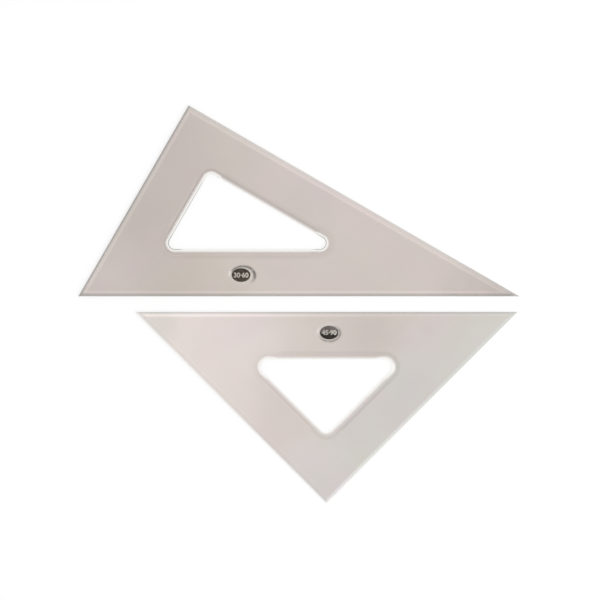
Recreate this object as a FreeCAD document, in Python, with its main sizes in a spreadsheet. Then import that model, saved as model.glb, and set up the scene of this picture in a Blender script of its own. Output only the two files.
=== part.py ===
import FreeCAD, Part
import math
import os
import Sketcher

# A matched pair of drafting set squares in clear smoked acrylic, one 30/60 and one 45. Each is cut
# from flat sheet and has bevelled ruling edges, a triangular opening with a sloping rim to lift it by,
# and a domed metal badge that is glued into an oval recess in its face.
# The squares lie flat on z = 0 with their faces up and their hypotenuses facing each other along +X,
# the 30/60 on the +Y side. The origin is under the middle of the pair.

document = FreeCAD.newDocument("SetSquares")

# Driving dimensions in millimetres, and the angles of the 30/60 in degrees
sizes = document.addObject("Spreadsheet::Sheet", "Sizes")
driving_sizes = (
    ("matching_edge", 250.0, "long leg of the 30/60, and hypotenuse of the 45"),
    ("facing_gap", 10.2, "between the two hypotenuses as the pair lies"),
    ("middle_shift", 18.0, "middle of the 45 to the right of the 30/60's middle"),
    ("sheet_thickness", 3.0, "acrylic sheet"),
    ("edge_land", 1.2, "upright part of a ruling edge, below its bevel"),
    ("edge_bevel", 2.0, "width of a ruling edge's bevel"),
    ("rim_land", 0.5, "upright part of an opening's rim, below its slope"),
    ("rim_bevel", 2.1, "width of an opening's sloping rim"),
    ("hypotenuse_border_30_60", 28.8, "ruling edge to the rim, on the face"),
    ("long_leg_border_30_60", 29.0, "ruling edge to the rim, on the face"),
    ("short_leg_border_30_60", 31.1, "ruling edge to the rim, on the face"),
    ("border_45", 28.9, "ruling edge to the rim, on the face, on all three sides"),
    ("opening_radius_30_60", 4.0, "corners of the clear opening"),
    ("opening_radius_45", 5.0, "corners of the clear opening"),
    ("badge_left_of_middle_30_60", 37.8, "badge centre from the hypotenuse's middle"),
    ("badge_from_edge_30_60", 13.9, "badge centre from the hypotenuse"),
    ("badge_left_of_middle_45", 1.8, "badge centre from the hypotenuse's middle"),
    ("badge_from_edge_45", 13.5, "badge centre from the hypotenuse"),
    ("badge_length", 12.4, "long axis of the oval"),
    ("badge_width", 9.0, "short axis of the oval"),
    ("badge_edge", 0.4, "height of the badge's upright edge"),
    ("badge_crown", 0.55, "rise of the dome above that edge"),
    ("pad_thickness", 0.15, "adhesive pad under the badge"),
    ("pad_inset", 0.4, "pad's edge inside the badge's edge"),
    ("recess_clearance", 0.4, "badge's edge to the foot of the recess wall"),
    ("recess_wall", 1.9, "width of the recess's sloping wall"),
    ("crown_below_face", 0.1, "top of the dome under the sheet's face"),
)
for row, (alias, value, note) in enumerate(driving_sizes, 1):
    sizes.set("A%d" % row, alias)
    sizes.set("B%d" % row, str(value))
    sizes.setAlias("B%d" % row, alias)
    sizes.set("C%d" % row, note)
document.recompute()

short_leg_angle = 60.0
long_leg_angle = 30.0
even_angle = 45.0
half_turn = 180.0

recess_depth = "(Sizes.pad_thickness + Sizes.badge_edge + Sizes.badge_crown + Sizes.crown_below_face)"
recess_floor = "(Sizes.sheet_thickness - %s)" % recess_depth


def size(alias):
    """The value of one driving dimension."""
    return float(sizes.get(alias))


def sketch_in(body, name, height=None):
    """A sketch on the body's own XY plane, or at a height above it that an expression gives."""
    plane = next(feature for feature in body.Origin.OriginFeatures if feature.Role == "XY_Plane")
    sketch = body.newObject("Sketcher::SketchObject", name)
    sketch.AttachmentSupport = [(plane, "")]
    sketch.MapMode = "FlatFace"
    if height is not None:
        sketch.setExpression("AttachmentOffset.Base.z", height)
    return sketch


def drive(sketch, kind, arguments, value, name, expression):
    """A dimension of a sketch, named and tied to the sheet."""
    number = sketch.addConstraint(Sketcher.Constraint(kind, *arguments, value))
    sketch.renameConstraint(number, name)
    sketch.setExpression("Constraints.%s" % name, expression)


def corners_of(base, left_angle, right_angle):
    """Left, right and top corners of a triangle on its base, whose middle is the origin."""
    left_leg = base * math.sin(math.radians(right_angle))
    rise = math.radians(left_angle)
    left = FreeCAD.Vector(-base / 2, 0, 0)
    right = FreeCAD.Vector(base / 2, 0, 0)
    return [left, right, left + FreeCAD.Vector(math.cos(rise), math.sin(rise), 0) * left_leg]


def unit(start, end):
    """The direction from one point to another."""
    return (end - start).normalize()


def inset(corners, borders):
    """Corners of the triangle that lies inside another by a border on each side."""
    inner = []
    for here in range(3):
        corner, following, before = corners[here], corners[(here + 1) % 3], corners[here - 1]
        ahead = unit(corner, following)
        back = unit(corner, before)
        spread = math.sin(ahead.getAngle(back))
        inner.append(corner + ahead * (borders[here - 1] / spread) + back * (borders[here] / spread))
    return inner


def draw_outline(sketch, corners, matching_side, left_angle):
    """The square's outline: base, right leg and left leg."""
    for side in range(3):
        sketch.addGeometry(Part.LineSegment(corners[side], corners[(side + 1) % 3]), False)
    for side in range(3):
        sketch.addConstraint(Sketcher.Constraint("Coincident", side, 2, (side + 1) % 3, 1))
    sketch.addConstraint(Sketcher.Constraint("Horizontal", 0))
    sketch.addConstraint(Sketcher.Constraint("Symmetric", 0, 1, 0, 2, -1, 1))
    sketch.addConstraint(Sketcher.Constraint("Perpendicular", 1, 2))
    sketch.addConstraint(Sketcher.Constraint("Angle", 0, 1, 2, 2, math.radians(left_angle)))
    drive(sketch, "Distance", (matching_side,), size("matching_edge"), "matching_edge", "Sizes.matching_edge")


def draw_opening(sketch, outline, corners, borders, radius_alias):
    """The clear opening: three sides parallel to the outline's, joined by round corners."""
    radius = size(radius_alias)
    clear = inset(corners, [size(border) + size("rim_bevel") for border in borders])
    starts, ends, middles = [], [], []
    for here in range(3):
        ahead = unit(clear[here], clear[(here + 1) % 3])
        back = unit(clear[here], clear[here - 1])
        half_angle = ahead.getAngle(back) / 2
        reach = radius / math.tan(half_angle)
        starts.append(clear[here] + back * reach)
        ends.append(clear[here] + ahead * reach)
        middles.append(clear[here] + (ahead + back).normalize() * (radius / math.sin(half_angle) - radius))
    for side in range(3):
        sketch.addGeometry(Part.LineSegment(ends[side], starts[(side + 1) % 3]), False)
    for here in range(3):
        sketch.addGeometry(Part.Arc(starts[here], middles[here], ends[here]), False)
    for here in range(3):
        arc = 3 + here
        sketch.addConstraint(Sketcher.Constraint("Tangent", (here + 2) % 3, 2, arc, 1))
        sketch.addConstraint(Sketcher.Constraint("Tangent", arc, 2, here, 1))
    sketch.addConstraint(Sketcher.Constraint("Equal", 3, 4))
    sketch.addConstraint(Sketcher.Constraint("Equal", 4, 5))
    drive(sketch, "Radius", (3,), radius, "corner_radius", "Sizes.%s" % radius_alias)
    for side, border in enumerate(borders):
        sketch.addExternal(outline.Name, "Edge%d" % (side + 1))
        edge = -3 - side
        sketch.addConstraint(Sketcher.Constraint("Parallel", side, edge))
        distance = size(border) + size("rim_bevel")
        drive(sketch, "Distance", (side, 1, edge), distance, "border_%d" % (side + 1),
              "Sizes.%s + Sizes.rim_bevel" % border)


def draw_oval(sketch, length, width, left="0", up="0"):
    """An oval along X, its axes and its centre given by expressions."""
    guess_long = size("badge_length") / 2
    guess_short = size("badge_width") / 2
    sketch.addGeometry(Part.Ellipse(FreeCAD.Vector(0, 0, 0), guess_long, guess_short), False)
    sketch.exposeInternalGeometry(0)
    sketch.addConstraint(Sketcher.Constraint("Horizontal", 1))
    drive(sketch, "Distance", (1,), 2 * guess_long, "long_axis", length)
    drive(sketch, "Distance", (2,), 2 * guess_short, "short_axis", width)
    if left == "0":
        sketch.addConstraint(Sketcher.Constraint("Coincident", 0, 3, -1, 1))
    else:
        drive(sketch, "DistanceX", (0, 3, -1, 1), guess_long, "left", left)
        drive(sketch, "DistanceY", (-1, 1, 0, 3), guess_short, "up", up)


def names_of(shape, wanted):
    """Names of some edges in a shape's own list."""
    return ["Edge%d" % number for number, edge in enumerate(shape.Edges, 1)
            if any(edge.isSame(other) for other in wanted)]


def slope(body, name, base, wanted, width, depth, face_second=False):
    """A sloping cut along edges of the sheet's face: so wide on the face, so deep on the wall."""
    cut = body.newObject("PartDesign::Chamfer", name)
    cut.Base = (base, names_of(base.Shape, wanted))
    cut.ChamferType = "Two distances"
    cut.FlipDirection = face_second
    cut.setExpression("Size", width)
    cut.setExpression("Size2", depth)
    document.recompute()
    return cut


def face_of(feature):
    """The sheet's upper face."""
    return max(feature.Shape.Faces, key=lambda face: face.CenterOfMass.z)


def set_square(label, left_angle, right_angle, base, matching_side, borders, radius_alias, badge_place):
    """One square, its hypotenuse along X through the origin and its right angle on the +Y side."""
    body = document.addObject("PartDesign::Body", label)
    body.Label = label
    corners = corners_of(base, left_angle, right_angle)
    outline = sketch_in(body, "Outline")
    draw_outline(outline, corners, matching_side, left_angle)
    sheet = body.newObject("PartDesign::Pad", "Sheet")
    sheet.Profile = outline
    sheet.setExpression("Length", "Sizes.sheet_thickness")
    document.recompute()

    bevel = slope(body, "RulingBevel", sheet, face_of(sheet).Edges, "Sizes.edge_bevel",
                  "Sizes.sheet_thickness - Sizes.edge_land", face_second=True)

    opening_sketch = sketch_in(body, "OpeningOutline")
    draw_opening(opening_sketch, outline, corners, borders, radius_alias)
    opening = body.newObject("PartDesign::Pocket", "Opening")
    opening.Profile = opening_sketch
    opening.Type = "ThroughAll"
    opening.Midplane = True
    document.recompute()

    face = face_of(opening)
    rim_edges = [edge for wire in face.Wires if not wire.isSame(face.OuterWire) for edge in wire.Edges]
    rim = slope(body, "LiftingRim", opening, rim_edges, "Sizes.rim_bevel",
                "Sizes.sheet_thickness - Sizes.rim_land")

    left, up = badge_place
    floor = sketch_in(body, "RecessFloor", recess_floor)
    draw_oval(floor, "Sizes.badge_length + 2 * Sizes.recess_clearance",
              "Sizes.badge_width + 2 * Sizes.recess_clearance", left, up)
    mouth = sketch_in(body, "RecessMouth", "Sizes.sheet_thickness")
    draw_oval(mouth, "Sizes.badge_length + 2 * (Sizes.recess_clearance + Sizes.recess_wall)",
              "Sizes.badge_width + 2 * (Sizes.recess_clearance + Sizes.recess_wall)", left, up)
    recess = body.newObject("PartDesign::SubtractiveLoft", "BadgeRecess")
    recess.Profile = floor
    recess.Sections = [mouth]
    recess.Ruled = True
    document.recompute()
    for before, after in ((sheet, bevel), (bevel, opening), (opening, rim), (rim, recess)):
        if after.Shape.Volume >= before.Shape.Volume:
            raise RuntimeError("%s of %s cuts nothing" % (after.Label, label))
    return body


def adhesive_pad(label):
    """The thin oval pad between a badge and the floor of its recess."""
    body = document.addObject("PartDesign::Body", label)
    body.Label = label
    oval = sketch_in(body, "PadOval")
    draw_oval(oval, "Sizes.badge_length - 2 * Sizes.pad_inset", "Sizes.badge_width - 2 * Sizes.pad_inset")
    layer = body.newObject("PartDesign::Pad", "PadLayer")
    layer.Profile = oval
    layer.setExpression("Length", "Sizes.pad_thickness")
    return body


def domed_badge(label):
    """A solid oval badge: an upright edge under a dome whose long section is an arc of a circle."""
    body = document.addObject("PartDesign::Body", label)
    body.Label = label
    oval = sketch_in(body, "BadgeOval")
    draw_oval(oval, "Sizes.badge_length", "Sizes.badge_width")
    edge = body.newObject("PartDesign::Pad", "BadgeEdge")
    edge.Profile = oval
    edge.setExpression("Length", "Sizes.badge_edge")
    half_length = "(Sizes.badge_length / 2)"
    arc = "((%s ^ 2 + Sizes.badge_crown ^ 2) / (2 * Sizes.badge_crown))" % half_length
    dome = body.newObject("PartDesign::AdditiveEllipsoid", "Dome")
    dome.setExpression("Radius1", arc)
    dome.setExpression("Radius2", arc)
    dome.setExpression("Radius3", "%s * Sizes.badge_width / Sizes.badge_length" % arc)
    dome.setExpression("Angle1", "acos(%s / %s)" % (half_length, arc))
    dome.setExpression("Placement.Base.z", "Sizes.badge_edge + Sizes.badge_crown - %s" % arc)
    return body


def settle(body, x, y, height="0", turned=False):
    """Lays a piece where it belongs in the pair."""
    if turned:
        body.Placement.Rotation = FreeCAD.Rotation(FreeCAD.Vector(0, 0, 1), half_turn)
    body.setExpression("Placement.Base.x", x)
    body.setExpression("Placement.Base.y", y)
    body.setExpression("Placement.Base.z", height)


# The 30/60, whose long leg matches the 45's hypotenuse
square_30_60 = set_square(
    "square_30_60", short_leg_angle, long_leg_angle,
    size("matching_edge") / math.cos(math.radians(long_leg_angle)), 1,
    ("hypotenuse_border_30_60", "long_leg_border_30_60", "short_leg_border_30_60"),
    "opening_radius_30_60", ("Sizes.badge_left_of_middle_30_60", "Sizes.badge_from_edge_30_60"))
settle(square_30_60, "0", "Sizes.facing_gap / 2")

# The 45, turned half round so that the two hypotenuses face each other
square_45 = set_square(
    "square_45", even_angle, even_angle, size("matching_edge"), 0,
    ("border_45", "border_45", "border_45"),
    "opening_radius_45", ("Sizes.badge_left_of_middle_45", "Sizes.badge_from_edge_45"))
settle(square_45, "Sizes.middle_shift", "-Sizes.facing_gap / 2", turned=True)

# The badges and their pads, on the floors of the recesses
badge_places = {
    "30_60": ("-Sizes.badge_left_of_middle_30_60", "Sizes.facing_gap / 2 + Sizes.badge_from_edge_30_60"),
    "45": ("Sizes.middle_shift + Sizes.badge_left_of_middle_45",
           "-(Sizes.facing_gap / 2 + Sizes.badge_from_edge_45)"),
}
pieces = [square_30_60, square_45]
for square, (x, y) in badge_places.items():
    pad = adhesive_pad("badge_pad_%s" % square)
    settle(pad, x, y, recess_floor)
    badge = domed_badge("badge_%s" % square)
    settle(badge, x, y, "%s + Sizes.pad_thickness" % recess_floor)
    pieces += [pad, badge]

document.recompute()
for item in document.Objects:
    if "Invalid" in item.State or "Error" in item.State:
        raise RuntimeError("%s did not build" % item.Label)
os.makedirs("parts", exist_ok=True)
for piece in pieces:
    shape = piece.Shape
    if shape.isNull() or not shape.isValid():
        raise RuntimeError("%s has no sound shape" % piece.Label)
    print("%s: %d solid, %.1f cubic mm" % (piece.Label, len(shape.Solids), shape.Volume))
    shape.exportStep("parts/%s.step" % piece.Label)
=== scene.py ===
import bpy
import bmesh
import math
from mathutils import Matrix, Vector


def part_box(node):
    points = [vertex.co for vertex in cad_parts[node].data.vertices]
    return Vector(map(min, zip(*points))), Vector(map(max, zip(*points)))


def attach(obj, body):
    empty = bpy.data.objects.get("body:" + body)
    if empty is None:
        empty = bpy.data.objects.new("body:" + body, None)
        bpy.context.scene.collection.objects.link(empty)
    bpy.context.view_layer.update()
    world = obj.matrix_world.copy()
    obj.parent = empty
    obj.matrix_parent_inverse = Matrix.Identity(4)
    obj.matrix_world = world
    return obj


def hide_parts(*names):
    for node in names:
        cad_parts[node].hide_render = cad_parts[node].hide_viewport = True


MM = 0.001

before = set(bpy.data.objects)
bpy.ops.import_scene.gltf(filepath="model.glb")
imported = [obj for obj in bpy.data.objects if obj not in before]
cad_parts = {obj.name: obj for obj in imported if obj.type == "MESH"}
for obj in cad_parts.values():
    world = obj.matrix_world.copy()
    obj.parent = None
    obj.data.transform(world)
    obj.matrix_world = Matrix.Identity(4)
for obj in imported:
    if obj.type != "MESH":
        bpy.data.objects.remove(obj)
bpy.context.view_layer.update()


# The two squares. Each is one piece of smoked acrylic sheet, sawn to a triangle, its ruling edges milled
# to a slope and its opening to a thin sloping rim. The faces stay as the sheet was cast, smooth and clear,
# the milled slopes keep a fine satin from the cutter, and every arris is eased by hand.
class Socket:
    """A node's output, which adds its own Math nodes as an expression is written."""

    def __init__(self, nodes, socket):
        self.nodes = nodes
        self.socket = socket

    def maths(self, operation, *terms):
        return self.nodes.node("ShaderNodeMath", {"operation": operation}, *terms)

    def __add__(self, other):
        return self.maths("ADD", self, other)

    __radd__ = __add__

    def __sub__(self, other):
        return self.maths("SUBTRACT", self, other)

    def __rsub__(self, other):
        return self.maths("SUBTRACT", other, self)

    def __mul__(self, other):
        return self.maths("MULTIPLY", self, other)

    __rmul__ = __mul__

    def least(self, *others):
        """The least of this value and the others."""
        least = self
        for other in others:
            least = self.maths("MINIMUM", least, other)
        return least

    def most(self, other):
        return self.maths("MAXIMUM", self, other)

    def rise(self, low, high):
        """0 below low and 1 above high, with a soft step between them."""
        return self.nodes.node("ShaderNodeMapRange", {"interpolation_type": "SMOOTHSTEP"}, self, low, high)

    def within(self, limit, softness):
        """1 below the limit and 0 above it, with a soft step that reaches softness to either side."""
        return 1.0 - self.rise(limit - softness, limit + softness)

    def line(self, middle, half_width):
        """1 at the middle, falling softly to 0 at half_width to either side of it."""
        return 1.0 - self.maths("ABSOLUTE", self - middle).rise(0.0, half_width)


class Nodes:
    """A node tree in the making."""

    def __init__(self, tree):
        self.tree = tree
        tree.nodes.clear()

    def put(self, socket, value):
        """Link an input to another node's output, or set it to a plain value."""
        if isinstance(value, Socket):
            self.tree.links.new(value.socket, socket)
        elif isinstance(value, tuple) and len(value) < len(socket.default_value):
            socket.default_value = (*value, 1.0)
        else:
            socket.default_value = value

    def node(self, kind, settings=None, *terms, out=0, **named):
        """One node: its settings first, then what its sockets hold, by place or by name."""
        node = self.tree.nodes.new(kind)
        for key, value in (settings or {}).items():
            setattr(node, key, value)
        for place, value in enumerate(terms):
            self.put(node.inputs[place], value)
        for key, value in named.items():
            self.put(node.inputs[key.replace("_", " ")], value)
        return Socket(self, node.outputs[out])

    def vector(self, operation, *terms, out="Vector", **named):
        return self.node("ShaderNodeVectorMath", {"operation": operation}, *terms, out=out, **named)

    def split(self, vector):
        parts = self.tree.nodes.new("ShaderNodeSeparateXYZ")
        self.put(parts.inputs[0], vector)
        return [Socket(self, part) for part in parts.outputs]


class Paint(Nodes):
    """A material in the making."""

    def __init__(self, name):
        self.material = bpy.data.materials.new(name)
        self.material.use_nodes = True
        super().__init__(self.material.node_tree)

    def place(self):
        """Where a point is on the object, in metres."""
        return self.node("ShaderNodeTexCoord", out="Object")

    def noise(self, spot, per_metre, detail=3.0, stretch=(1.0, 1.0, 1.0), turn=0.0):
        """Soft noise from 0 to 1, around a half."""
        spot = self.node("ShaderNodeMapping", None, Vector=spot, Scale=stretch, Rotation=(0.0, 0.0, turn))
        return self.node("ShaderNodeTexNoise", None, Vector=spot, Scale=per_metre, Detail=detail)

    def blend(self, share, first, second):
        return self.node("ShaderNodeMix", {"data_type": "RGBA"}, share, A=first, B=second, out="Result")

    def bump(self, height, strength, distance):
        return self.node("ShaderNodeBump", None, Strength=strength, Distance=distance, Height=height)

    def principled(self, **named):
        return self.node("ShaderNodeBsdfPrincipled", None, **named)

    def finish(self, surface, volume=None):
        out = self.tree.nodes.new("ShaderNodeOutputMaterial")
        self.put(out.inputs["Surface"], surface)
        if volume:
            self.put(out.inputs["Volume"], volume)
        return self.material


class Side:
    """One straight side of a square, with its border and the soft stripes of painted light and shade along
    its edge and its rim.

    It runs through the corner and faces outwards, at so many degrees from +X. A stripe is how far in its
    middle lies and how wide it is to either side, in millimetres, and how much paler it is than the sheet,
    as a painted light, or darker where that is below 0, as a painted shade. The pale ones along the edge
    fade out towards +X, from the first to the second place of fading. The slope tells how the opening's
    milled slope
    looks on this side: how sharply its painted white highlight ends, how dark the painted shade at its foot
    is, and how much narrower than the rim its white is, as a share of the rim. The turn tells the same of
    the corner that leads to the next side.
    """

    def __init__(self, degrees, corner, border, edge_light_shade_stripes, rim_light_shade_stripes, slope, turn, fading=None):
        self.across = (math.cos(math.radians(degrees)), math.sin(math.radians(degrees)))
        self.reach = self.across[0] * corner[0] + self.across[1] * corner[1]
        self.border = border
        self.edge_light_shade_stripes = edge_light_shade_stripes
        self.rim_light_shade_stripes = rim_light_shade_stripes
        self.slope = slope
        self.turn = turn
        self.fading = fading

    def inside(self, paint, spot):
        """How far a point lies inside this side."""
        return self.reach - paint.vector("DOT_PRODUCT", spot, (*self.across, 0.0), out="Value")


def meeting(first, second, inset):
    """The corner of two sides of the opening, moved in by the inset."""
    (a, b), (c, d) = first.across, second.across
    reach = first.reach - first.border - inset
    other = second.reach - second.border - inset
    spread = a * d - b * c
    return Vector(((reach * d - other * b) / spread, (a * other - c * reach) / spread, 0.0))


bevel_width = 2.0 * MM
rim_width = 2.1 * MM
recess_half_mouth = (8.5 * MM, 6.8 * MM)
recess_foot_share = 0.77
no_change = (1.0, 1.0, 1.0)


class SheetPaint(Paint):
    """The material of one square, which knows how far a point lies from everything that is milled."""

    def __init__(self, name, sides, radius):
        super().__init__("smoked_acrylic_" + name)
        rim_blend = 3.0 * MM
        place = self.place()
        measures = self.split(place)
        self.across = measures[0]
        self.height = measures[2]
        self.spot = self.vector("MULTIPLY", place, (1.0, 1.0, 0.0))
        self.sides = sides
        self.insides = [side.inside(self, self.spot) for side in sides]
        self.from_edge = self.insides[0].least(*self.insides[1:])
        reaches = [self.from_core(side, radius) for side in sides]
        least = reaches[0].least(*reaches[1:])
        self.from_rim = least - radius
        self.near_rims = [1.0 - (reach - least).rise(0.0, rim_blend) for reach in reaches]
        first, second, third = self.near_rims
        self.near_corner = (first + second + third - 1.0).most(0.0)

    def from_core(self, side, radius):
        """How far a point lies from a side of the triangle that the opening's corners turn about."""
        start, end = (meeting(side, other, rim_width + radius) for other in self.sides if other is not side)
        span = end - start
        run = self.vector("SUBTRACT", self.spot, tuple(start))
        share = self.vector("DOT_PRODUCT", run, tuple(span / span.length_squared), out="Value")
        nearest = self.vector("SCALE", tuple(span), Scale=share.most(0.0).least(1.0))
        return self.vector("DISTANCE", run, nearest, out="Value")

    def oval_around(self, middle):
        """How far out a point lies in an oval like the recess: 1 at the recess's mouth."""
        away = self.vector("SUBTRACT", self.spot, (*middle, 0.0))
        return self.vector("LENGTH", self.vector("DIVIDE", away, (*recess_half_mouth, 1.0)), out="Value")

    def light_shade_striped(self, tone):
        """The tone with the painted light and shade stripes along each ruling edge and along each side of
        the rim.
        """
        tip_blend = 0.3 * MM
        faded_share = 0.8
        corner_share = 0.5
        for side, inside, near_rim in zip(self.sides, self.insides, self.near_rims):
            own = 1.0 - (inside - self.from_edge).rise(0.0, tip_blend)
            for middle, half_width, amount in side.edge_light_shade_stripes:
                stripe = own * inside.line(middle * MM, half_width * MM) * amount
                if side.fading and amount > 0:
                    stripe = stripe * (1.0 - self.across.rise(*side.fading) * faded_share)
                tone = tone + stripe
            near = near_rim * (1.0 - self.near_corner * corner_share)
            for middle, half_width, amount in side.rim_light_shade_stripes:
                tone = tone + near * self.from_rim.line(middle * MM, half_width * MM) * amount
        return tone

    def shaded(self, tone, middle, ring, towards, amount):
        """The tone with the grainy shade of the recess, a ring in its oval that lies to one side."""
        ring_half_width_share = 0.19
        side_from = -4.0 * MM
        side_to = 3.0 * MM
        steady_share = 0.5
        grain = self.noise(self.spot, per_metre=420.0).rise(low=0.15, high=0.55)
        grain = grain * (1.0 - steady_share) + steady_share
        away = self.vector("SUBTRACT", self.spot, (*middle, 0.0))
        on_side = self.vector("DOT_PRODUCT", away, towards, out="Value").rise(side_from, side_to)
        on_ring = self.oval_around(middle).line(ring, ring_half_width_share)
        return tone - grain * on_side * on_ring * amount

    def tinted(self, tone, light_and_shade_washes, light_and_shade_patches):
        """The smoke tint at this tone, with its washes and patches of painted light and shade, and a little
        cooler on the bevels.
        """
        rosy_smoke = (0.925, 0.849, 0.842)
        yellow_smoke = (0.910, 0.868, 0.822)
        cooler = (1.0, 1.03, 1.03)
        cooler_until = 1.8 * MM
        cooler_softness = 0.4 * MM
        wash_waver = 60.0 * MM
        patch_waver_share = 0.4
        mottle = self.noise(self.spot, per_metre=26.0).rise(low=0.3, high=0.7)
        body = self.vector("SCALE", self.blend(mottle, rosy_smoke, yellow_smoke), Scale=tone)
        waver = (self.noise(self.spot, per_metre=18.0) - 0.5) * wash_waver
        for facing, start, end, colour in light_and_shade_washes:
            along = self.vector("DOT_PRODUCT", self.spot, facing, out="Value") + waver
            body = self.vector("MULTIPLY", body, self.blend(along.rise(start, end), no_change, colour))
        for middle, reach, colour in light_and_shade_patches:
            away = self.vector("DISTANCE", self.spot, (*middle, 0.0), out="Value")
            away = away + waver * patch_waver_share
            body = self.vector("MULTIPLY", body, self.blend(away.rise(0.0, reach), colour, no_change))
        on_bevel = self.from_edge.within(cooler_until, cooler_softness)
        return self.vector("MULTIPLY", body, self.blend(on_bevel, no_change, cooler))

    def slope(self):
        """How the painted light and shade on the rim's slope look at a point: how sharp its white is, how
        dark its foot, how narrow.
        """
        slope = [0.0, 0.0, 0.0]
        next_rims = self.near_rims[1:] + self.near_rims[:1]
        for side, near_rim, next_rim in zip(self.sides, self.near_rims, next_rims):
            straight = near_rim * (1.0 - self.near_corner)
            turning = near_rim * next_rim
            slope = [straight * on_side + turning * on_turn + so_far
                     for on_side, on_turn, so_far in zip(side.slope, side.turn, slope)]
        return slope

    def rimmed(self, body):
        """The body with a painted highlight that turns the rim's slope nearly white, and a painted shade
        line along the slope's foot.
        """
        painted_slope_highlight = (0.99, 1.0, 0.985)
        start_share = 0.95
        end_share = 1.15
        foot_at = 0.05 * MM
        foot_half_width = 0.75 * MM
        sharp, foot, narrower = self.slope()
        start = sharp.least(1.0) * (start_share * rim_width)
        end = (end_share - narrower) * rim_width
        white = 1.0 - self.from_rim.rise(start, end)
        painted_foot_shade = 1.0 - self.from_rim.line(foot_at, foot_half_width) * foot
        return self.blend(white, body, self.vector("SCALE", painted_slope_highlight, Scale=painted_foot_shade))

    def milled(self, badge):
        """1 on the slopes that a cutter has run over, and 0 on the faces as they were cast."""
        slope_softness = 0.06 * MM
        wall_softness_share = 0.01
        underside_margin = 0.1 * MM
        on_edge = self.from_edge.within(bevel_width, slope_softness)
        on_rim = self.from_rim.within(rim_width, slope_softness)
        oval = self.oval_around(badge)
        on_floor = oval.within(recess_foot_share, wall_softness_share)
        on_wall = oval.within(1.0, wall_softness_share) - on_floor
        above = self.height.rise(underside_margin, 2 * underside_margin)
        return on_edge.most(on_rim).most(on_wall) * above


def smoked_acrylic(name, sides, radius, badge, shade, body_tone, light_and_shade_washes, light_and_shade_patches):
    """Clear acrylic with a warm grey tint all through it, and a satin on its milled slopes. Its colour
    carries
    painted light and shade too: stripes along the edges and the rim, a highlight on the rim's slope, a
    shade in the recess, and broad washes and soft patches.

    A wash is the way it faces, where along that way it starts and is full, and its colour. A patch is its
    middle, its reach and the colour at its middle. Both colours multiply the sheet's own.
    """
    tone_drift = 0.10
    cast_roughness = 0.03
    satin_roughness = 0.16
    scuff_roughness = 0.06
    chatter_depth = 0.02 * MM
    acrylic_ior = 1.49
    deep_tint = (0.639, 0.431, 0.313)
    tint_density = 75.0
    paint = SheetPaint(name, sides, radius)
    tone = body_tone + (paint.noise(paint.spot, per_metre=11.0) - 0.5) * tone_drift
    tone = paint.shaded(paint.light_shade_striped(tone), **shade)
    base = paint.rimmed(paint.tinted(tone, light_and_shade_washes, light_and_shade_patches))
    milled = paint.milled(badge)
    scuffs = paint.noise(paint.spot, per_metre=130.0, detail=5.0, stretch=(1.0, 9.0, 1.0), turn=0.5)
    scuffs = scuffs.rise(low=0.60, high=0.78)
    roughness = cast_roughness + milled * satin_roughness + scuffs * scuff_roughness
    chatter = paint.noise(paint.spot, per_metre=1100.0, detail=2.0) * milled
    surface = paint.principled(Base_Color=base, Roughness=roughness, IOR=acrylic_ior,
                               Transmission_Weight=1.0,
                               Normal=paint.bump(chatter, strength=0.25, distance=chatter_depth))
    volume = paint.node("ShaderNodeVolumeAbsorption", None, Color=deep_tint, Density=tint_density)
    return paint.finish(surface, volume)


def show(piece):
    bpy.context.scene.collection.objects.link(piece)
    return piece


def made_plain(piece, name):
    """The piece with its modifiers worked into its mesh."""
    evaluated = piece.evaluated_get(bpy.context.evaluated_depsgraph_get())
    mesh = bpy.data.meshes.new_from_object(evaluated)
    mesh.name = name
    bpy.data.objects.remove(piece)
    return show(bpy.data.objects.new(name, mesh))


def eased_sheet(node, name):
    """A square's shape with each sharp arris turned into a very small round."""
    merge_within = 0.002 * MM
    flat_within = math.radians(0.3)
    arris_width = 0.14 * MM
    arris_steps = 3
    arris_from = math.radians(20)
    large_face_weight = 100
    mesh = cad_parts[node].data.copy()
    work = bmesh.new()
    work.from_mesh(mesh)
    bmesh.ops.remove_doubles(work, verts=work.verts, dist=merge_within)
    bmesh.ops.dissolve_limit(work, angle_limit=flat_within, verts=work.verts, edges=work.edges)
    for face in work.faces:
        face.smooth = True
    work.to_mesh(mesh)
    work.free()
    mesh.materials.clear()
    raw = show(bpy.data.objects.new(name + "_raw", mesh))
    ease = raw.modifiers.new("eased arrises", "BEVEL")
    ease.width = arris_width
    ease.segments = arris_steps
    ease.limit_method = "ANGLE"
    ease.angle_limit = arris_from
    even = raw.modifiers.new("flat faces stay flat", "WEIGHTED_NORMAL")
    even.weight = large_face_weight
    return made_plain(raw, name)


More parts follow.
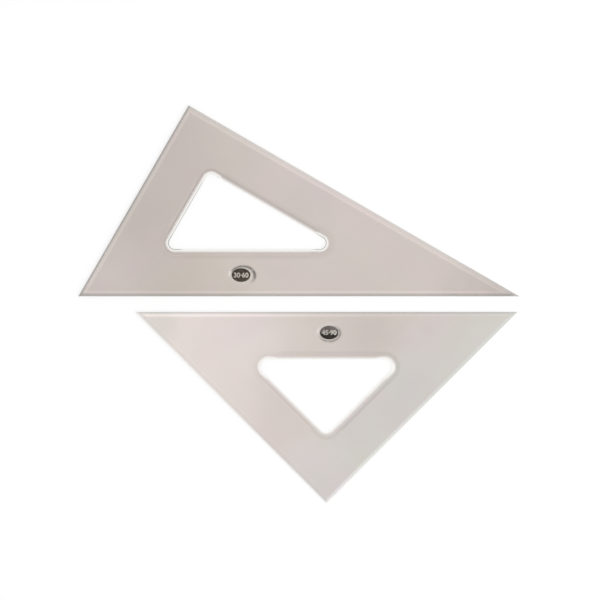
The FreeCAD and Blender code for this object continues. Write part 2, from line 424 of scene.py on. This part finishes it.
low_30_60, high_30_60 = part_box("square_30_60")
low_45, high_45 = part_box("square_45")
# Each side's stripes, slope and turn, and each square's shade, washes and patches, are painted light and
# shade in the sheet's colour.
squares = {
    "30_60": dict(
        sides=(Side(-90, low_30_60, border=28.8 * MM,
                    edge_light_shade_stripes=((1.2, 1.4, -0.24), (2.8, 1.1, 0.09)),
                    rim_light_shade_stripes=((2.6, 1.0, -0.06), (5.0, 2.5, -0.05)),
                    slope=(1.0, 0.06, 0.0), turn=(1.0, 0.90, 0.0)),
               Side(150, low_30_60, border=31.1 * MM,
                    edge_light_shade_stripes=((0.5, 1.8, -0.25), (2.8, 1.4, 0.10)),
                    rim_light_shade_stripes=((2.8, 1.1, -0.11), (4.2, 1.0, 0.03)),
                    slope=(1.0, 0.60, 0.0), turn=(0.9, 0.10, 0.05)),
               Side(60, (high_30_60.x, low_30_60.y), border=29.0 * MM,
                    edge_light_shade_stripes=((0.3, 0.9, 0.05), (3.0, 1.7, 0.10)),
                    rim_light_shade_stripes=((2.4, 1.4, -0.12), (4.0, 1.8, -0.03)),
                    slope=(0.0, 0.0, 0.25), turn=(1.0, 0.80, 0.0))),
        radius=4.0 * MM, badge=(-37.8 * MM, 19.0 * MM),
        shade=dict(middle=(-36.7 * MM, 18.6 * MM), ring=0.93, towards=(0.35, 0.94, 0.0), amount=0.50),
        body_tone=0.68,
        light_and_shade_washes=(((1.0, 0.0, 0.0), -85 * MM, -5 * MM, (1.15, 1.15, 1.15)),
                ((1.0, 0.0, 0.0), 88 * MM, 124 * MM, (0.865, 0.865, 0.865))),
        light_and_shade_patches=(((-127 * MM, 19 * MM), 35 * MM, (1.08, 1.08, 1.09)),
                ((-98 * MM, 62 * MM), 35 * MM, (0.95, 0.95, 0.95)),
                ((-66 * MM, 20 * MM), 50 * MM, (1.0, 1.0, 0.965)),
                ((5 * MM, 68 * MM), 35 * MM, (0.95, 0.95, 0.97)),
                ((-42 * MM, 15 * MM), 20 * MM, (0.97, 0.975, 0.965)),
                ((135 * MM, 8 * MM), 16 * MM, (0.95, 0.945, 0.95)))),
    "45": dict(
        sides=(Side(90, high_45, border=28.9 * MM,
                    edge_light_shade_stripes=((0.8, 1.2, -0.16), (2.4, 1.5, 0.17)), fading=(-60 * MM, 100 * MM),
                    rim_light_shade_stripes=((2.6, 1.0, -0.04), (4.2, 2.2, -0.05)),
                    slope=(0.0, 0.0, 0.0), turn=(1.0, 0.0, 0.0)),
               Side(-135, (low_45.x, high_45.y), border=28.9 * MM,
                    edge_light_shade_stripes=((0.2, 1.2, 0.11), (1.6, 1.0, -0.09), (2.8, 1.5, 0.01)),
                    rim_light_shade_stripes=((3.0, 1.0, -0.06), (4.2, 1.0, 0.02)),
                    slope=(0.0, 0.0, 0.10), turn=(0.0, 0.0, 0.30)),
               Side(-45, high_45, border=28.9 * MM,
                    edge_light_shade_stripes=((0.9, 2.1, 0.16),), fading=(45 * MM, 125 * MM),
                    rim_light_shade_stripes=((3.9, 1.7, -0.10),),
                    slope=(0.0, 0.0, 0.0), turn=(1.0, 0.0, 0.0))),
        radius=5.0 * MM, badge=(19.8 * MM, -18.6 * MM),
        shade=dict(middle=(20.0 * MM, -18.9 * MM), ring=0.83, towards=(0.45, -0.75, 0.0), amount=0.45),
        body_tone=0.78,
        light_and_shade_washes=(((-1.0, 0.0, 0.0), -10 * MM, 75 * MM, (1.22, 1.235, 1.245)),
                ((0.6, -0.8, 0.0), 58 * MM, 84 * MM, (1.0, 1.055, 1.075))),
        light_and_shade_patches=(((48 * MM, -20 * MM), 32 * MM, (0.93, 0.93, 0.935)),
                ((-92 * MM, -12 * MM), 18 * MM, (0.92, 0.93, 0.93)),
                ((-24 * MM, -22 * MM), 40 * MM, (1.045, 1.05, 1.07)),
                ((-12 * MM, -72 * MM), 34 * MM, (1.025, 1.04, 1.035)),
                ((2 * MM, -104 * MM), 42 * MM, (1.045, 1.04, 1.035)),
                ((84 * MM, -16 * MM), 16 * MM, (0.995, 0.98, 0.975)),
                ((70 * MM, -55 * MM), 30 * MM, (0.965, 0.975, 0.975)))),
}
for square, facts in squares.items():
    sheet = eased_sheet("square_" + square, "sheet_" + square)
    sheet.data.materials.append(smoked_acrylic(square, **facts))
    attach(sheet, "set_square_" + square)
    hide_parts("square_" + square)


# The adhesive pads: thin ovals of dark grey glue film, cut a little smaller than the badges. Each holds its
# badge to the floor of the recess, and shows through the clear sheet from below.
darker_glue = (0.085, 0.077, 0.072)
paler_glue = (0.155, 0.143, 0.138)
film_paint = Paint("glue_film")
film_mottle = film_paint.noise(film_paint.place(), per_metre=700.0)
film_colour = film_paint.blend(film_mottle, darker_glue, paler_glue)
glue_film = film_paint.finish(film_paint.principled(Base_Color=film_colour, Roughness=0.55))
for square in squares:
    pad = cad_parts["badge_pad_" + square]
    pad.data.materials.clear()
    pad.data.materials.append(glue_film)


# The badges: solid ovals struck in dark nickel, domed, with a narrow border and the square's two angles
# standing in bare metal on the dark field, in plain numbers.
class Shape(Nodes):
    """A Geometry Nodes tree in the making, with its sizes and its metal as named inputs."""

    def __init__(self, name, sizes):
        super().__init__(bpy.data.node_groups.new(name, "GeometryNodeTree"))
        self.sizes = sizes
        face = self.tree.interface
        for size in sizes:
            face.new_socket(name=size, in_out="INPUT", socket_type="NodeSocketFloat")
        face.new_socket(name="Metal", in_out="INPUT", socket_type="NodeSocketMaterial")
        face.new_socket(name="Geometry", in_out="OUTPUT", socket_type="NodeSocketGeometry")
        start = self.tree.nodes.new("NodeGroupInput")
        self.given = {socket.name: Socket(self, socket) for socket in start.outputs}

    def finish(self, geometry):
        metal = self.given["Metal"]
        geometry = self.node("GeometryNodeRealizeInstances", None, geometry)
        geometry = self.node("GeometryNodeSetMaterial", None, Geometry=geometry, Material=metal)
        out = self.tree.nodes.new("NodeGroupOutput")
        self.put(out.inputs[0], geometry)

    def made(self, name, metal):
        """A plain object of the shape at these sizes, in this metal."""
        holder = show(bpy.data.objects.new(name + "_raw", bpy.data.meshes.new(name + "_raw")))
        modifier = holder.modifiers.new(self.tree.name, "NODES")
        modifier.node_group = self.tree
        values = dict(self.sizes, Metal=metal)
        for item in self.tree.interface.items_tree:
            if item.in_out == "INPUT":
                modifier[item.identifier] = values[item.name]
        return made_plain(holder, name)


badge_sizes = {
    "Half length": 6.2 * MM,
    "Half width": 4.5 * MM,
    "Edge height": 0.4 * MM,
    "Crown": 0.55 * MM,
    "Field depth": 0.05 * MM,
    "Edge round": 0.07 * MM,
}
badge_corners = 96
badge_rings = 40
badge_floor = 1.95 * MM
badge_sharp_from = math.radians(35)
border_foot_share = 0.90
border_top_share = 0.94
outermost_share = 0.999
numeral_width = 9.6 * MM
numeral_relief = 0.11 * MM
numeral_sink = 0.10 * MM


def dark_nickel(square, lower, upper):
    """Blackened nickel, mottled paler in places, with painted light and shade that runs from its lower to
    its upper colour up the badge.
    """
    painted_shading_from_share = -0.45
    painted_shading_to_share = 0.35
    smooth_roughness = 0.24
    mottled_roughness = 0.16
    pebble_height = 0.01 * MM
    paint = Paint("dark_nickel_" + square)
    place = paint.place()
    mottle = paint.noise(place, per_metre=900.0)
    level = paint.split(place)[1] - squares[square]["badge"][1]
    half_width = badge_sizes["Half width"]
    painted_shading = level.rise(painted_shading_from_share * half_width, painted_shading_to_share * half_width)
    paler = mottle.rise(low=0.3, high=0.7) + 1.0
    colour = paint.vector("SCALE", paint.blend(painted_shading, lower, upper), Scale=paler)
    pebbles = paint.noise(place, per_metre=3200.0, detail=1.0)
    return paint.finish(paint.principled(Base_Color=colour, Metallic=1.0,
                                         Roughness=smooth_roughness + mottle * mottled_roughness,
                                         Normal=paint.bump(pebbles, strength=0.3, distance=pebble_height)))


def bare_nickel():
    """Warm pale nickel, as the tops of the raised numbers are worn to."""
    duller = (0.66, 0.61, 0.54)
    brighter = (0.86, 0.82, 0.76)
    paint = Paint("bare_nickel")
    wear = paint.noise(paint.place(), per_metre=1500.0)
    colour = paint.blend(wear, duller, brighter)
    return paint.finish(paint.principled(Base_Color=colour, Metallic=1.0, Roughness=0.32))


def domed_oval():
    """The badge's blank: a drum whose top is drawn up into a dome, with its border left standing."""
    shape = Shape("domed_oval", badge_sizes)
    given = shape.given
    drum = shape.node("GeometryNodeMeshCylinder", {"fill_type": "TRIANGLE_FAN"},
                      badge_corners, 1, badge_rings, 1.0, 1.0)
    x, y, z = shape.split(shape.node("GeometryNodeInputPosition"))
    radius = shape.vector("LENGTH", shape.node("ShaderNodeCombineXYZ", None, x, y, 0.0), out="Value")
    top = z.maths("GREATER_THAN", z, 0.0)
    dome = given["Edge height"] + given["Crown"] * (1.0 - radius * radius)
    field = given["Field depth"] * (1.0 - radius.rise(border_foot_share, border_top_share))
    rounded = given["Edge round"] * radius.maths("GREATER_THAN", radius, outermost_share)
    place = shape.node("ShaderNodeCombineXYZ", None, x * given["Half length"], y * given["Half width"],
                       top * (dome - field - rounded))
    drum = shape.node("GeometryNodeSetPosition", None, Geometry=drum, Position=place)
    shape.finish(drum)
    return shape


def crown_height(x, y):
    """The field of the badge above its underside."""
    share = (x / badge_sizes["Half length"]) ** 2 + (y / badge_sizes["Half width"]) ** 2
    return badge_sizes["Edge height"] + badge_sizes["Crown"] * (1.0 - share) - badge_sizes["Field depth"]


def numerals(words):
    """Numbers cut thick, laid over the dome and sunk a little into it."""
    boldness = 0.030
    any_thickness = 0.5
    curve_steps = 6
    merge_distance = 0.0001
    curve = bpy.data.curves.new("numerals", "FONT")
    curve.body = words
    curve.align_x = "CENTER"
    curve.align_y = "CENTER"
    curve.offset = boldness
    curve.extrude = any_thickness
    curve.resolution_u = curve_steps
    flat = made_plain(show(bpy.data.objects.new("numerals_raw", curve)), "numerals")
    work = bmesh.new()
    work.from_mesh(flat.data)
    bpy.data.objects.remove(flat)
    bmesh.ops.remove_doubles(work, verts=work.verts, dist=merge_distance)
    bmesh.ops.triangulate(work, faces=work.faces)
    left = min(vertex.co.x for vertex in work.verts)
    right = max(vertex.co.x for vertex in work.verts)
    foot = min(vertex.co.y for vertex in work.verts)
    head = max(vertex.co.y for vertex in work.verts)
    scale = numeral_width / (right - left)
    for vertex in work.verts:
        x = (vertex.co.x - (left + right) / 2) * scale
        y = (vertex.co.y - (foot + head) / 2) * scale
        rise = numeral_relief if vertex.co.z > 0 else -numeral_sink
        vertex.co = (x, y, crown_height(x, y) + rise)
    bmesh.ops.recalc_face_normals(work, faces=work.faces)
    return work


badge_blank = domed_oval()
bare_metal = bare_nickel()


def marked_badge(square, words, lower, upper):
    """One square's badge: the domed blank with its numbers raised on it, seated on its pad."""
    field_metal = dark_nickel(square, lower, upper)
    badge = badge_blank.made("domed_badge_" + square, field_metal)
    work = numerals(words)
    raised = len(work.faces)
    work.from_mesh(badge.data)
    for number, face in enumerate(work.faces):
        face.material_index = int(number < raised)
        face.smooth = True
    center = Vector((*squares[square]["badge"], badge_floor))
    for vertex in work.verts:
        vertex.co += center
    badge.data.materials.clear()
    badge.data.materials.append(field_metal)
    badge.data.materials.append(bare_metal)
    work.to_mesh(badge.data)
    work.free()
    badge.data.set_sharp_from_angle(angle=badge_sharp_from)
    return badge


# Each badge's lower and upper colours are painted light and shade on its dark nickel, from its lower to its
# upper edge.
badge_marks = {
    "30_60": dict(words="30·60", lower=(0.082, 0.067, 0.052), upper=(0.062, 0.050, 0.039)),
    "45": dict(words="45·90", lower=(0.036, 0.031, 0.028), upper=(0.142, 0.124, 0.116)),
}
for square, marks in badge_marks.items():
    badge = marked_badge(square, **marks)
    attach(badge, "set_square_" + square)
    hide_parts("badge_" + square)


# The table: a wide sheet of plain white board under the pair, a hair below them so that no two faces lie
# in one plane. Where an eye, a mirror or the clear sheet looks at it, it shows mostly as full white.
def looked_at(nodes, *kinds):
    """Whether the ray that looks is of each of these kinds."""
    path = nodes.tree.nodes.new("ShaderNodeLightPath")
    return [Socket(nodes, path.outputs["Is %s Ray" % kind]) for kind in kinds]


def white_board():
    seen_white = 0.70
    seen_white_through = 0.95
    board_white = (0.96, 0.96, 0.96)
    paint = Paint("white_board")
    matt = paint.node("ShaderNodeBsdfDiffuse", None, Color=board_white)
    glow = paint.node("ShaderNodeEmission", None, Color=(1.0, 1.0, 1.0), Strength=1.0)
    eye, mirror, through = looked_at(paint, "Camera", "Glossy", "Transmission")
    share = (eye.most(mirror) * seen_white).most(through * seen_white_through)
    return paint.finish(paint.node("ShaderNodeMixShader", None, share, matt, glow))


table_drop = 0.02 * MM
table_half = 3.0
table_corners = [(x * table_half, y * table_half, -table_drop)
                 for x, y in ((-1, -1), (1, -1), (1, 1), (-1, 1))]
table_mesh = bpy.data.meshes.new("table")
table_mesh.from_pydata(table_corners, [], [(0, 1, 2, 3)])
table_mesh.materials.append(white_board())
show(bpy.data.objects.new("table", table_mesh))


# The light: an even white room with a dimmer ceiling, which the badges mirror, and one wide soft lamp
# from the right.
def soft_lamp(name, azimuth, elevation, distance, size, power):
    light = bpy.data.lights.new(name, "AREA")
    light.size = size
    light.energy = power
    level = distance * math.cos(math.radians(elevation))
    place = Vector((level * math.cos(math.radians(azimuth)), level * math.sin(math.radians(azimuth)),
                    distance * math.sin(math.radians(elevation))))
    holder = show(bpy.data.objects.new(name, light))
    holder.location = place
    holder.rotation_euler = place.to_track_quat("Z", "Y").to_euler()


def white_room():
    wall_strength = 0.90
    ceiling_dimmer = 0.35
    ceiling_tilt = 0.40
    world = bpy.data.worlds.new("white_room")
    world.use_nodes = True
    room = Nodes(world.node_tree)
    ahead, height = room.split(room.node("ShaderNodeTexCoord", out="Generated"))[1:]
    eye, through = looked_at(room, "Camera", "Transmission")
    dim_ceiling = height.rise(low=0.70, high=0.97) * (ceiling_dimmer - ahead * ceiling_tilt)
    strength = (wall_strength - dim_ceiling).most(eye).most(through)
    sky = room.node("ShaderNodeBackground", None, Color=(1.0, 1.0, 1.0), Strength=strength)
    out = room.tree.nodes.new("ShaderNodeOutputWorld")
    room.put(out.inputs["Surface"], sky)
    return world


soft_lamp("right_lamp", azimuth=-15, elevation=42, distance=1.5, size=0.9, power=12.0)
bpy.context.scene.world = white_room()


# The camera, straight above the pair and framed as in the photograph. The frame's width is measured on
# the table, and its middle lies a little off the pair's own.
camera_height = 1.6
frame_width = 392.9 * MM
frame_middle = (0.7 * MM, 2.7 * MM)
sensor_width = 36.0
overhead = bpy.data.cameras.new("overhead")
overhead.sensor_width = sensor_width
overhead.lens = sensor_width * camera_height / frame_width
camera = show(bpy.data.objects.new("overhead", overhead))
camera.location = (*frame_middle, camera_height)
bpy.context.scene.camera = camera
bpy.context.scene.view_settings.view_transform = "Standard"
